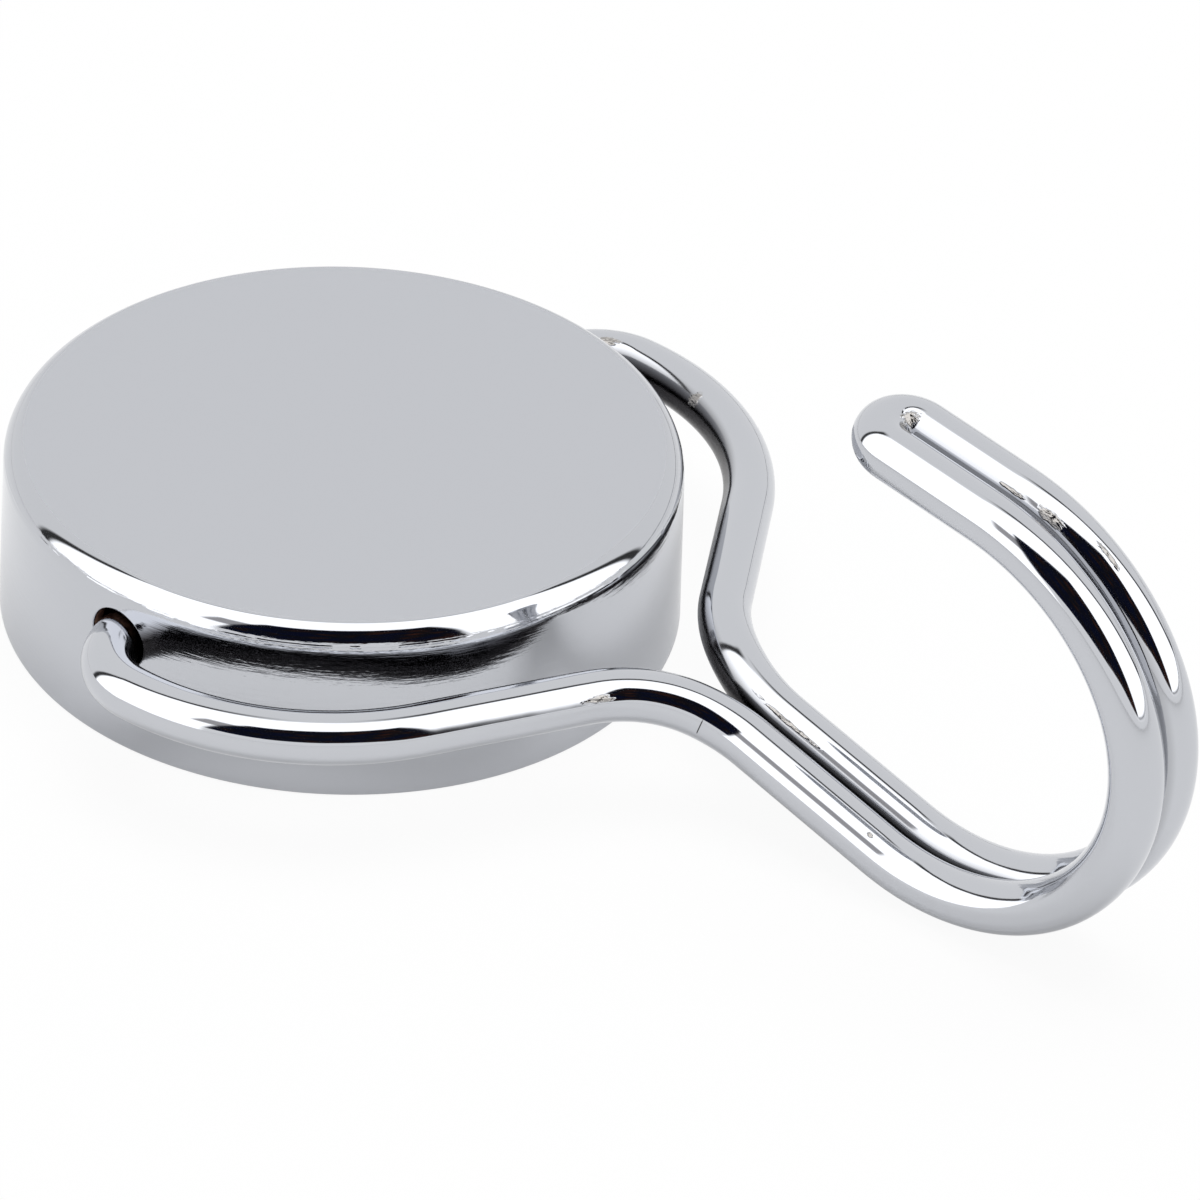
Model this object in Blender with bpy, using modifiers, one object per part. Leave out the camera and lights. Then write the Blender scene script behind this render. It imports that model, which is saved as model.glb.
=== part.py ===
# A magnetic hook: a shallow drawn steel cup that holds a disc magnet, with a wire hook that swings
# in two holes in the cup's side wall. Lengths are in metres, angles in degrees.
# +Z points from the magnet's face to the cup's closed face, and +X along the hook as it lies flat.
# The origin is the middle of the magnet's face, which is level with the cup's rim.

import math

import bmesh
import bpy
from mathutils import Vector

mm = 0.001

# Cup. Its top edge is a tight round above a slacker one, which meet at the edge's turn angle.
cup_radius = 18.1 * mm
cup_height = 10.1 * mm
cup_wall = 0.8 * mm
edge_top_round = 0.25 * mm
edge_side_round = 1.55 * mm
edge_turn_angle = 27.0
cup_inner_round = 0.3 * mm
rim_flare = 0.25 * mm
rim_chamfer = 0.12 * mm
cup_steps = 96
round_steps = 5

# Wire
wire_diameter = 2.8 * mm
wire_end_chamfer = 0.3 * mm
wire_bevel_resolution = 6
wire_spacing = 1.25 * mm
wire_step_angle = 12.0

# Pivot: the wire's ends lie in the side holes, a little below the middle of each hole
hole_below_face = 1.95 * mm
hole_clearance = 0.3 * mm
hole_sides = 32
wire_sag = 0.05 * mm
wire_end_reach = 2.3 * mm
cutter_overrun = 2.0 * mm

# Legs and neck, seen from above. The two clearances are from the cup's rim to the wire.
leg_clearance = 1.38 * mm
shoulder_clearance = 1.56 * mm
end_bend = 3.8 * mm
shoulder_angle = 60.0
neck_bend = 8.9 * mm
strand_gap = 0.1 * mm

# Shank and hook, seen from the side
dip_clearance = 2.45 * mm
dip_bend = 15.4 * mm
shank_length = 12.1 * mm
throat_bend = 11.1 * mm
crown_bend = 12.9 * mm
crown_angle = 52.6
lip_length = 5.7 * mm
lip_rise_angle = 10.8
floor_clearance = 0.1 * mm

# Magnet and the ring round it
wire_to_magnet = 1.0 * mm
magnet_edge_bevel = 0.4 * mm
magnet_edge_steps = 2
magnet_sides = 64
seat_gap = 0.3 * mm
ring_recess = 0.4 * mm
ring_below_wire = 0.6 * mm
ring_edge_bevel = 0.25 * mm

# Mesh finish
weld_distance = 0.01 * mm
sharp_angle = 40.0

# Derived sizes
edge_turn = math.radians(edge_turn_angle)
edge_drop = edge_top_round * (1 - math.cos(edge_turn)) + edge_side_round * math.cos(edge_turn)
edge_inset = edge_top_round * math.sin(edge_turn) + edge_side_round * (1 - math.sin(edge_turn))
straight_height = cup_height - edge_drop
rim_radius = cup_radius + rim_flare
wire_radius = wire_diameter / 2
wire_end = cup_radius - cup_wall - wire_end_reach
hole_radius = wire_radius + hole_clearance
hole_height = cup_height - hole_below_face - hole_radius
pivot_height = hole_height - wire_sag
strand_offset = wire_radius + strand_gap / 2
leg_offset = rim_radius + leg_clearance + wire_radius
dip_start = rim_radius + dip_clearance
magnet_radius = wire_end - wire_to_magnet


def clear_scene():
    for item in list(bpy.data.objects):
        bpy.data.objects.remove(item, do_unlink=True)


def new_collection(name):
    group = bpy.data.collections.new(name)
    bpy.context.scene.collection.children.link(group)
    return group


def new_material(name, colour, roughness, metallic):
    material = bpy.data.materials.new(name)
    material.use_nodes = True
    shader = material.node_tree.nodes["Principled BSDF"]
    shader.inputs["Base Color"].default_value = (*colour, 1)
    shader.inputs["Roughness"].default_value = roughness
    shader.inputs["Metallic"].default_value = metallic
    return material


def add_object(name, data, group, material):
    item = bpy.data.objects.new(name, data)
    group.objects.link(item)
    data.materials.append(material)
    return item


# The outside radius of the cup's side wall, which opens out a little towards the rim.
def wall_radius(height):
    return cup_radius + rim_flare * max(straight_height - height, 0) / straight_height


def arc(centre_x, centre_z, radius, first_angle, last_angle):
    points = []
    for step in range(round_steps + 1):
        angle = math.radians(first_angle + (last_angle - first_angle) * step / round_steps)
        points.append((centre_x + radius * math.cos(angle), centre_z + radius * math.sin(angle)))
    return points


# A profile of (radius, height) points turned about Z. It runs down the outside, top to bottom.
def turned_mesh(name, profile, closed):
    mesh = bpy.data.meshes.new(name)
    edges = [(index, index + 1) for index in range(len(profile) - 1)]
    if closed:
        edges.append((len(profile) - 1, 0))
    mesh.from_pydata([(radius, 0, height) for radius, height in profile], edges, [])
    return mesh


def add_turn(item, steps):
    turn = item.modifiers.new("turn", "SCREW")
    turn.axis = "Z"
    turn.angle = math.tau
    turn.steps = steps
    turn.render_steps = steps
    turn.use_merge_vertices = True
    turn.merge_threshold = weld_distance
    turn.use_smooth_shade = True


# Both side holes are one round bar across the cup, so they share one axis.
def side_hole_cutter(cutters):
    mesh = bpy.data.meshes.new("side_hole_cutter")
    shape = bmesh.new()
    bar_length = 2 * (rim_radius + cutter_overrun)
    bmesh.ops.create_cone(
        shape,
        cap_ends=True,
        segments=hole_sides,
        radius1=hole_radius,
        radius2=hole_radius,
        depth=bar_length,
    )
    shape.to_mesh(mesh)
    shape.free()
    bar = bpy.data.objects.new("side_hole_cutter", mesh)
    bar.rotation_euler = (math.radians(90), 0, 0)
    bar.location = (0, 0, hole_height)
    bar.hide_render = True
    bar.display_type = "WIRE"
    cutters.objects.link(bar)
    return bar


def make_cup(group, cutters):
    profile = [(0, cup_height)]
    profile += arc(
        cup_radius - edge_inset,
        cup_height - edge_top_round,
        edge_top_round,
        90,
        90 - edge_turn_angle,
    )
    profile += arc(
        cup_radius - edge_side_round, straight_height, edge_side_round, 90 - edge_turn_angle, 0
    )[1:]
    profile.append((wall_radius(rim_chamfer), rim_chamfer))
    profile.append((rim_radius - rim_chamfer, 0))
    profile.append((rim_radius - cup_wall + rim_chamfer, 0))
    profile.append((rim_radius - cup_wall, rim_chamfer))
    profile += arc(
        cup_radius - cup_wall - cup_inner_round,
        cup_height - cup_wall - cup_inner_round,
        cup_inner_round,
        0,
        90,
    )
    profile.append((0, cup_height - cup_wall))
    chrome = new_material("chrome_cup", (0.56, 0.56, 0.58), 0.06, 1.0)
    cup = add_object("cup", turned_mesh("cup", profile, False), group, chrome)
    add_turn(cup, cup_steps)
    holes = cup.modifiers.new("side_holes", "BOOLEAN")
    holes.operation = "DIFFERENCE"
    holes.solver = "EXACT"
    holes.object = side_hole_cutter(cutters)
    return cup


def make_magnet(group):
    height = cup_height - cup_wall - seat_gap
    mesh = bpy.data.meshes.new("magnet")
    shape = bmesh.new()
    bmesh.ops.create_cone(
        shape,
        cap_ends=True,
        segments=magnet_sides,
        radius1=magnet_radius,
        radius2=magnet_radius,
        depth=height,
    )
    shape.to_mesh(mesh)
    shape.free()
    ferrite = new_material("ferrite", (0.05, 0.05, 0.055), 0.55, 0.0)
    magnet = add_object("magnet", mesh, group, ferrite)
    magnet.location = (0, 0, height / 2)
    edge = magnet.modifiers.new("edge", "BEVEL")
    edge.width = magnet_edge_bevel
    edge.segments = magnet_edge_steps
    edge.limit_method = "ANGLE"
    edge.angle_limit = math.radians(sharp_angle)
    mesh.shade_smooth()
    mesh.set_sharp_from_angle(angle=math.radians(sharp_angle))
    return magnet


def make_spacer_ring(group):
    top = pivot_height - wire_radius - ring_below_wire
    inner = magnet_radius + seat_gap
    low_outer = wall_radius(ring_recess) - cup_wall - seat_gap
    top_outer = wall_radius(top) - cup_wall - seat_gap
    profile = [
        (inner, top),
        (top_outer - ring_edge_bevel, top),
        (top_outer, top - ring_edge_bevel),
        (low_outer, ring_recess + ring_edge_bevel),
        (low_outer - ring_edge_bevel, ring_recess),
        (inner, ring_recess),
    ]
    plastic = new_material("spacer_plastic", (0.06, 0.06, 0.065), 0.5, 0.0)
    ring = add_object("spacer_ring", turned_mesh("spacer_ring", profile, True), group, plastic)
    add_turn(ring, magnet_sides)
    return ring


# The place and heading after going some distance along a chain of straights and bends.
# Each move is (length, turn): a straight has no turn, and a bend's radius is length / turn.
def along(moves, distance, heading):
    x = 0.0
    y = 0.0
    left = distance
    for number, (length, turn) in enumerate(moves):
        last = number == len(moves) - 1
        step = left if last else min(left, length)
        if turn:
            radius = length / turn
            turned = heading + step / radius
            x += radius * (math.sin(turned) - math.sin(heading))
            y -= radius * (math.cos(turned) - math.cos(heading))
            heading = turned
        else:
            x += step * math.cos(heading)
            y += step * math.sin(heading)
        left -= step
        if left <= 0:
            break
    return x, y


def bend(radius, degrees):
    return radius * abs(math.radians(degrees)), math.radians(degrees)


# How far the shank dips, so that the hook's lowest point just clears the surface the magnet is on.
def dip_angle():
    drop = pivot_height - wire_radius - floor_clearance
    bends = dip_bend + throat_bend
    reach = math.hypot(bends, shank_length)
    return math.degrees(math.atan2(bends, shank_length) + math.asin((drop - bends) / reach))


# The side view: level legs, then down to the shank, and up and back round the hook to the lip.
def side_moves():
    dip = dip_angle()
    hook_angle = 180 - lip_rise_angle + dip
    return [
        (dip_start, 0.0),
        bend(dip_bend, -dip),
        (shank_length, 0.0),
        bend(throat_bend, hook_angle - crown_angle),
        bend(crown_bend, crown_angle),
        (lip_length, 0.0),
    ]


# The bend that takes a leg round the cup, so that the slant after it clears the rim as it should.
def shoulder_bend():
    turn = math.radians(shoulder_angle)
    slant_offset = rim_radius + shoulder_clearance + wire_radius
    reached = end_bend * math.sin(turn) + leg_offset * math.cos(turn)
    return (slant_offset - reached) / (1 - math.cos(turn))


# The plan view of the -Y half, as if the wire were still flat: out of the hole, round the end bend,
# round the cup, in at the neck, along the shank, and round half of the tight bend at the tip.
def plan_moves():
    turn = math.radians(shoulder_angle)
    bends = shoulder_bend() + neck_bend
    crossing = leg_offset - strand_offset - bends * (1 - math.cos(turn))
    slant = crossing / math.sin(turn)
    neck_end = end_bend + bends * math.sin(turn) + slant * math.cos(turn)
    flat_length = sum(length for length, _ in side_moves())
    return [
        (leg_offset - end_bend - wire_end, 0.0),
        bend(end_bend, 90),
        bend(shoulder_bend(), shoulder_angle),
        (slant, 0.0),
        bend(neck_bend, -shoulder_angle),
        (flat_length - neck_end, 0.0),
        bend(strand_offset, 90),
    ]


# Distances along the flat wire, close enough together to follow each bend.
def ring_distances(moves):
    distances = [0.0]
    start = 0.0
    for length, turn in moves:
        steps = math.ceil(length / wire_spacing)
        if turn:
            steps = max(steps, math.ceil(math.degrees(abs(turn)) / wire_step_angle))
        distances += [start + length * step / steps for step in range(1, steps + 1)]
        start += length
    return distances


# The wire's centre line, from one end to the other, measured from the pivot axis.
def wire_points():
    plan = plan_moves()
    side = side_moves()
    half = []
    for distance in ring_distances(plan):
        flat_x, flat_y = along(plan, distance, math.radians(-90))
        x, z = along(side, flat_x, 0.0)
        half.append(Vector((x, flat_y - wire_end, z)))
    half[-1].y = 0.0
    return half + [Vector((point.x, -point.y, point.z)) for point in reversed(half[:-1])]


def make_swing_hook(group):
    points = wire_points()
    direction = (points[1] - points[0]).normalized()
    chamfer_points = [points[0] + direction * wire_end_chamfer]
    chamfer_points.append(Vector((chamfer_points[0].x, -chamfer_points[0].y, chamfer_points[0].z)))
    points = [points[0], chamfer_points[0], *points[1:-1], chamfer_points[1], points[-1]]
    curve = bpy.data.curves.new("swing_hook", "CURVE")
    curve.dimensions = "3D"
    curve.bevel_depth = wire_radius
    curve.bevel_resolution = wire_bevel_resolution
    curve.use_fill_caps = True
    spline = curve.splines.new("POLY")
    spline.points.add(len(points) - 1)
    for spot, place in zip(spline.points, points):
        spot.co = (*place, 1)
        spot.radius = 1
    end_radius_share = (wire_radius - wire_end_chamfer) / wire_radius
    spline.points[0].radius = end_radius_share
    spline.points[-1].radius = end_radius_share
    spline.use_smooth = True
    chrome = new_material("chrome_wire", (0.56, 0.56, 0.58), 0.07, 1.0)
    hook = add_object("swing_hook", curve, group, chrome)
    hook.location = (0, 0, pivot_height)
    return hook


def main():
    clear_scene()
    parts = new_collection("magnetic_hook")
    cutters = new_collection("cutters")
    make_cup(parts, cutters)
    make_magnet(parts)
    make_spacer_ring(parts)
    make_swing_hook(parts)


main()
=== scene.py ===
import math

import bmesh
import bpy
from mathutils import Matrix, Vector, noise


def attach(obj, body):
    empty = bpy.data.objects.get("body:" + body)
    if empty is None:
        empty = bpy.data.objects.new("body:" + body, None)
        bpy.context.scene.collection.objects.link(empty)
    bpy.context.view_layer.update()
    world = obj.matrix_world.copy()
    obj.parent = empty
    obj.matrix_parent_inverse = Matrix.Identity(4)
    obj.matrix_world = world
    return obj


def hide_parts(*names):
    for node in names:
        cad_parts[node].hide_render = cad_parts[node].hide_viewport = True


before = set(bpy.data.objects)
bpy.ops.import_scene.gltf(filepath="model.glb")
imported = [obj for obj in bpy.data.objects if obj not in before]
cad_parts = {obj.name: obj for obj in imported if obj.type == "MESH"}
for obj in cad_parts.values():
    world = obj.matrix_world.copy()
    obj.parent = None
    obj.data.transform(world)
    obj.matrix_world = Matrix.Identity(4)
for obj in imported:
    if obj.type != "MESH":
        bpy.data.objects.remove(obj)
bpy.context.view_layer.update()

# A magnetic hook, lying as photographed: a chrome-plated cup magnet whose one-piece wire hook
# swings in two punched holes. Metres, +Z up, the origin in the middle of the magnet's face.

mm = 0.001
eased = {"interpolation_type": "SMOOTHSTEP"}  # a Map Range node that eases in and out


# an sRGB hex colour as linear red, green, blue and alpha
def linearColour(hexText):
    levels = [int(hexText[start:start + 2], 16) / 255 for start in (1, 3, 5)]
    return tuple(v / 12.92 if v <= 0.04045 else ((v + 0.055) / 1.055) ** 2.4 for v in levels) + (1,)


# Inputs are given by name or number, or in a list by their order. Each is a plain value, a socket
# to link, or a node, whose first output is linked. A Mix node's inputs go by number: 0 is the
# share, 2 and 3 are two values, and 6 and 7 are two colours, with the mixed colour at output 2.
def setInputs(tree, node, inputs):
    for socket, given in inputs.items() if isinstance(inputs, dict) else enumerate(inputs):
        if isinstance(given, bpy.types.Node):
            given = given.outputs[0]
        if isinstance(given, bpy.types.NodeSocket):
            tree.links.new(given, node.inputs[socket])
        else:
            node.inputs[socket].default_value = given


def addNode(tree, kind, inputs=(), **settings):
    node = tree.nodes.new(kind)
    for name, setting in settings.items():
        setattr(node, name, setting)
    setInputs(tree, node, inputs)
    return node


# gives a colour ramp its stops, as (place, sRGB hex colour) pairs in order
def setTones(ramp, tones):
    stops = ramp.color_ramp.elements
    while len(stops) < len(tones):
        stops.new(1)
    for stop, (place, hexText) in zip(stops, tones):
        stop.position = place
        stop.color = linearColour(hexText)


def newMaterial(name):
    material = bpy.data.materials.new(name)
    material.use_nodes = True
    return material, material.node_tree, material.node_tree.nodes["Principled BSDF"]


# how far apart two values are
def distanceBetween(tree, first, second):
    difference = addNode(tree, "ShaderNodeMath", [first, second], operation="SUBTRACT")
    return addNode(tree, "ShaderNodeMath", [difference], operation="ABSOLUTE")


# Noise in marks of given sizes along X, Y and Z. A turn of the noise, in degrees, gives other marks
# of the same sizes.
def longMarks(tree, place, sizes, turn=0, detail=3, roughness=0.5):
    drawn = addNode(tree, "ShaderNodeMapping",
                    {"Vector": place, "Scale": [1 / size for size in sizes],
                     "Rotation": (0, 0, math.radians(turn))})
    return addNode(tree, "ShaderNodeTexNoise",
                   {"Vector": drawn, "Scale": 1, "Detail": detail, "Roughness": roughness})


# slow waves in the plate
def plateWaves(tree, place, look):
    ripple = addNode(tree, "ShaderNodeTexNoise",
                     {"Vector": place, "Scale": 1 / look["rippleSize"], "Detail": 1})
    return addNode(tree, "ShaderNodeBump",
                   {"Strength": 1, "Distance": look["rippleHeight"], "Height": ripple})


# a roughness that rises with a pattern
def patternedRoughness(tree, pattern, look):
    return addNode(tree, "ShaderNodeMapRange",
                   {"Value": pattern, "To Min": look["roughness"],
                    "To Max": look["roughness"] + look["roughnessSpread"]})


# a colour with others laid over it in turn, each by its own share
def layeredColour(tree, colour, layers):
    for share, other in layers:
        mixed = addNode(tree, "ShaderNodeMix", {0: share, 6: colour, 7: other}, data_type="RGBA")
        colour = mixed.outputs[2]
    return colour


# Chrome over bright nickel on drawn steel. The plate mirrors the studio on the rounded edge and
# the wall, where the die has left short marks that make the mirror image ragged, and a broken line
# round the edge. The flat face keeps a satin grain, which blurs the mirror image to an even sheen.
cupChromeLook = {
    "colour": "#C1C3C8",
    "roughness": 0.035,
    "roughnessSpread": 0.03,
    "faceRoughness": 0.55,
    "faceMetallic": 0.75,
    "faceBorder": 0.12 * mm,  # over which the satin fades into the polished edge
    "drawMarkLength": 1.7 * mm,
    "drawMarkWidth": 0.14 * mm,
    "wallMarkHeight": 0.009 * mm,
    "faceMarkHeight": 0.0004 * mm,
    "marksBelow": 0.9 * mm,  # under the face, where the marks are at their full height
    "dieLineBelow": 0.97 * mm,
    "dieLineWidth": 0.2 * mm,
    "dieLineHeight": 0.012 * mm,
    "dieLineBreaks": 2.0 * mm,
    "dieLineShows": (0.42, 0.52),  # noise levels between which the line fades in
    "rippleSize": 5.0 * mm,
    "rippleHeight": 0.004 * mm,
}


def makeCupChrome():
    look = cupChromeLook
    material, tree, shader = newMaterial("chromePlatedDrawnSteel")
    place = addNode(tree, "ShaderNodeTexCoord").outputs["Object"]
    split = addNode(tree, "ShaderNodeSeparateXYZ", [place]).outputs
    fromTop = addNode(tree, "ShaderNodeMath", [cupSizes["height"], split["Z"]],
                      operation="SUBTRACT")

    # the short marks, which are hardly there on the face
    length, width = look["drawMarkLength"], look["drawMarkWidth"]
    marks = longMarks(tree, place, (length, length, width), roughness=0.55)
    onWall = addNode(tree, "ShaderNodeMapRange",
                     [fromTop, look["marksBelow"] / 2, look["marksBelow"]], **eased)
    markShare = addNode(tree, "ShaderNodeMapRange",
                        [onWall, 0, 1, look["faceMarkHeight"] / look["wallMarkHeight"], 1], **eased)
    markDepth = addNode(tree, "ShaderNodeMath", [marks, markShare], operation="MULTIPLY")

    # the broken line
    offLine = distanceBetween(tree, fromTop, look["dieLineBelow"])
    ridge = addNode(tree, "ShaderNodeMapRange",
                    [offLine, 0, look["dieLineWidth"] / 2,
                     look["dieLineHeight"] / look["wallMarkHeight"], 0], **eased)
    breaks = addNode(tree, "ShaderNodeTexNoise",
                     {"Vector": place, "Scale": 1 / look["dieLineBreaks"], "Detail": 2})
    shows = addNode(tree, "ShaderNodeMapRange", [breaks, *look["dieLineShows"]], **eased)
    dieLine = addNode(tree, "ShaderNodeMath", [shows, ridge], operation="MULTIPLY")
    relief = addNode(tree, "ShaderNodeMath", [markDepth, dieLine], operation="ADD")
    bumps = addNode(tree, "ShaderNodeBump",
                    {"Strength": 1, "Distance": look["wallMarkHeight"], "Height": relief,
                     "Normal": plateWaves(tree, place, look)})

    # the satin face
    flatPlace = addNode(tree, "ShaderNodeCombineXYZ", [split["X"], split["Y"]])
    outward = addNode(tree, "ShaderNodeVectorMath", [flatPlace], operation="LENGTH")
    faceRadius = cupSizes["radius"] - edgeReach()[1]
    onFace = addNode(tree, "ShaderNodeMapRange",
                     [outward.outputs["Value"], faceRadius - look["faceBorder"], faceRadius, 1, 0],
                     **eased)
    haze = patternedRoughness(tree, marks, look)
    setInputs(tree, shader, {
        "Base Color": linearColour(look["colour"]),
        "Metallic": addNode(tree, "ShaderNodeMapRange", [onFace, 0, 1, 1, look["faceMetallic"]],
                            **eased),
        "Roughness": addNode(tree, "ShaderNodeMix", {0: onFace, 2: haze, 3: look["faceRoughness"]}),
        "Normal": bumps,
    })
    return material


# The same plate on drawn wire. Draw lines run along the wire, so its bright bands have long,
# slightly broken edges. Painted shade darkens the inner side, which faces the cup and the other
# strand, and dulls its plate, though less so round the hook. The plate is torn where the wire
# was gripped. One thin dark line across the wire is where the bending tool's edge pressed.
wireChromeLook = {
    "colour": "#C4C6CB",
    "roughness": 0.04,
    "roughnessSpread": 0.04,
    "drawLineLength": 9.0 * mm,
    "drawLineWidth": 0.35 * mm,
    "drawLineHeight": 0.002 * mm,
    "rippleSize": 2.4 * mm,
    "rippleHeight": 0.006 * mm,
    # the painted shade on the wire's inner side: its dark colour, its roughness and where it lies
    "paintedShadeColour": "#3C3A3B",
    "paintedShadeRoughness": 0.2,
    "paintedShadeFrom": 0.7 * mm,  # towards the inner side, from the middle of the wire
    "paintedShadeFull": 1.36 * mm,
    "hookEnds": (34.2 * mm, 41.8 * mm),  # along the wire from the tip
    "hookPaintedShadeFrom": 1.1 * mm,
    "hookPaintedShadeShare": 0.25,
    "nickColour": "#A3A09D",
    "nickRoughness": 0.07,
    "nickHeight": 0.1 * mm,
    "nickGrainLength": 0.6 * mm,
    "nickGrainWidth": 0.2 * mm,
    "nickRaggedness": 1.6,
    "nickCore": 0.6,  # the share of its outline in which a nick is at its full depth
    "toolMarkAlong": 39.35 * mm,
    "toolMarkWidth": 0.07 * mm,
    "toolMarkOut": (1.3 * mm, 1.365 * mm),  # towards the outer side, where it fades in
}

# Nicks in the plate, each at a place on the straightened wire: along it, out from the cup's side,
# and across. Then half its length along the wire and half its width, all in millimetres.
wireNicks = {
    "tipPit": ((97.6, -1.10, 0.85), 1.3, 0.45),
    "throatSlash": ((107.2, -1.20, 0.70), 0.8, 0.3),
    "throatScuff": ((105.0, -1.27, 0.58), 0.9, 0.14),
    "crownNick": ((110.1, -0.62, 1.26), 0.9, 0.15),
    "neckNick": ((33.2, 1.22, -0.68), 0.9, 0.2),
    "strandScuff": ((150.6, -0.80, -1.15), 2.2, 0.14),
    "legNick": ((179.5, -1.05, -0.9), 0.45, 0.5),
    "farLegScuff": ((187.2, -0.55, -1.25), 0.8, 0.3),
    "bead": ((50.3, 0.95, -1.00), 0.22, 0.16),
}


# how much of a nick lies at a place: 1 in its middle, 0 outside its ragged outline
def nickShare(tree, place, grain, nick):
    middle, halfLength, halfWidth = nick
    raggedness = wireChromeLook["nickRaggedness"]
    away = addNode(tree, "ShaderNodeVectorMath", [place, [length * mm for length in middle]],
                   operation="SUBTRACT")
    reach = addNode(tree, "ShaderNodeVectorMath",
                    [away, (halfLength * mm, halfWidth * mm, halfWidth * mm)], operation="DIVIDE")
    outward = addNode(tree, "ShaderNodeVectorMath", [reach], operation="LENGTH").outputs["Value"]
    swell = addNode(tree, "ShaderNodeMath", [grain, raggedness, -raggedness / 2],
                    operation="MULTIPLY_ADD")
    ragged = addNode(tree, "ShaderNodeMath", [outward, swell], operation="ADD")
    return addNode(tree, "ShaderNodeMapRange", [ragged, wireChromeLook["nickCore"], 1, 1, 0],
                   **eased)


# how much painted shade lies at a place on the straightened wire, with the tool mark, from 0 to 1
def paintedShadeAndToolMark(tree, place):
    look = wireChromeLook
    split = addNode(tree, "ShaderNodeSeparateXYZ", [place]).outputs
    middle = sum(length for length, _ in wireMoves()[0])
    fromTip = distanceBetween(tree, split["X"], middle)
    offHook = addNode(tree, "ShaderNodeMapRange", [fromTip, *look["hookEnds"]], **eased)
    start = addNode(tree, "ShaderNodeMapRange",
                    [offHook, 0, 1, look["hookPaintedShadeFrom"], look["paintedShadeFrom"]], **eased)
    inward = addNode(tree, "ShaderNodeMath", [split["Y"], -1], operation="MULTIPLY")
    innerSide = addNode(tree, "ShaderNodeMapRange", [inward, start, look["paintedShadeFull"]], **eased)
    most = addNode(tree, "ShaderNodeMapRange", [offHook, 0, 1, look["hookPaintedShadeShare"], 1], **eased)
    paintedShade = addNode(tree, "ShaderNodeMath", [innerSide, most], operation="MULTIPLY")

    offMark = distanceBetween(tree, split["X"], look["toolMarkAlong"])
    width = look["toolMarkWidth"]
    onMark = addNode(tree, "ShaderNodeMapRange", [offMark, width / 4, width * 3 / 4, 1, 0], **eased)
    outerSide = addNode(tree, "ShaderNodeMapRange", [split["Y"], *look["toolMarkOut"]], **eased)
    toolMark = addNode(tree, "ShaderNodeMath", [onMark, outerSide], operation="MULTIPLY")
    return addNode(tree, "ShaderNodeMath", [paintedShade, toolMark], operation="MAXIMUM")


def makeWireChrome():
    look = wireChromeLook
    material, tree, shader = newMaterial("chromePlatedWire")
    place = addNode(tree, "ShaderNodeAttribute", attribute_name="wirePlace").outputs["Vector"]
    length, width = look["drawLineLength"], look["drawLineWidth"]
    lines = longMarks(tree, place, (length, width, width))
    bumps = addNode(tree, "ShaderNodeBump",
                    {"Strength": 1, "Distance": look["drawLineHeight"], "Height": lines,
                     "Normal": plateWaves(tree, place, look)})

    length, width = look["nickGrainLength"], look["nickGrainWidth"]
    grain = longMarks(tree, place, (length, width, width), detail=2)
    nicked = 0
    for nick in wireNicks.values():
        nicked = addNode(tree, "ShaderNodeMath", [nicked, nickShare(tree, place, grain, nick)],
                         operation="MAXIMUM")
    tornHeight = addNode(tree, "ShaderNodeMath", [nicked, grain], operation="MULTIPLY")
    torn = addNode(tree, "ShaderNodeBump",
                   {"Strength": 1, "Distance": look["nickHeight"], "Height": tornHeight,
                    "Normal": bumps})

    # the painted shade on the inner side, together with the tool mark
    paintedShade = paintedShadeAndToolMark(tree, place)
    haze = patternedRoughness(tree, lines, look)
    roughnessUnderShade = addNode(tree, "ShaderNodeMix", {0: paintedShade, 2: haze, 3: look["paintedShadeRoughness"]})
    roughness = addNode(tree, "ShaderNodeMix", {0: nicked, 2: roughnessUnderShade, 3: look["nickRoughness"]})
    # the colour is darkened where the shade is painted, and pales at the nicks
    colour = layeredColour(tree, linearColour(look["colour"]),
                           [(paintedShade, linearColour(look["paintedShadeColour"])),
                            (nicked, linearColour(look["nickColour"]))])
    setInputs(tree, shader, {"Base Color": colour, "Metallic": 1, "Roughness": roughness,
                             "Normal": torn})
    return material


# Bare steel inside the cup, where the plate thins out to brown copper strike and flash rust.
bareSteelLook = {
    "tones": ((0.35, "#4A2A20"), (0.7, "#9A7460")),
    "patchSize": 0.4 * mm,
    "roughness": 0.5,
    "metallic": 0.3,
}


def makeBareSteel():
    look = bareSteelLook
    material, tree, shader = newMaterial("bareSteelInside")
    place = addNode(tree, "ShaderNodeTexCoord").outputs["Object"]
    patches = addNode(tree, "ShaderNodeTexNoise",
                      {"Vector": place, "Scale": 1 / look["patchSize"], "Detail": 4})
    tint = addNode(tree, "ShaderNodeValToRGB", [patches])
    setTones(tint, look["tones"])
    setInputs(tree, shader, {"Base Color": tint, "Metallic": look["metallic"],
                             "Roughness": look["roughness"]})
    return material


# Sintered ferrite, ground flat: near-black grey with a dull sheen, fine parallel grinding lines on
# its face and pale specks where grains have broken out.
ferriteLook = {
    "tones": ((0.4, "#26272A"), (0.75, "#3A3B3E")),
    "grindLineWidth": 0.16 * mm,
    "grindLineLength": 12.0 * mm,
    "grindLineDepth": 0.006 * mm,
    "grindNoiseTurn": 24.0,
    "grainSize": 0.35 * mm,
    "grainDepth": 0.01 * mm,
    "roughness": 0.42,
    "roughnessSpread": 0.16,
    "ior": 1.9,
}


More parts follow.
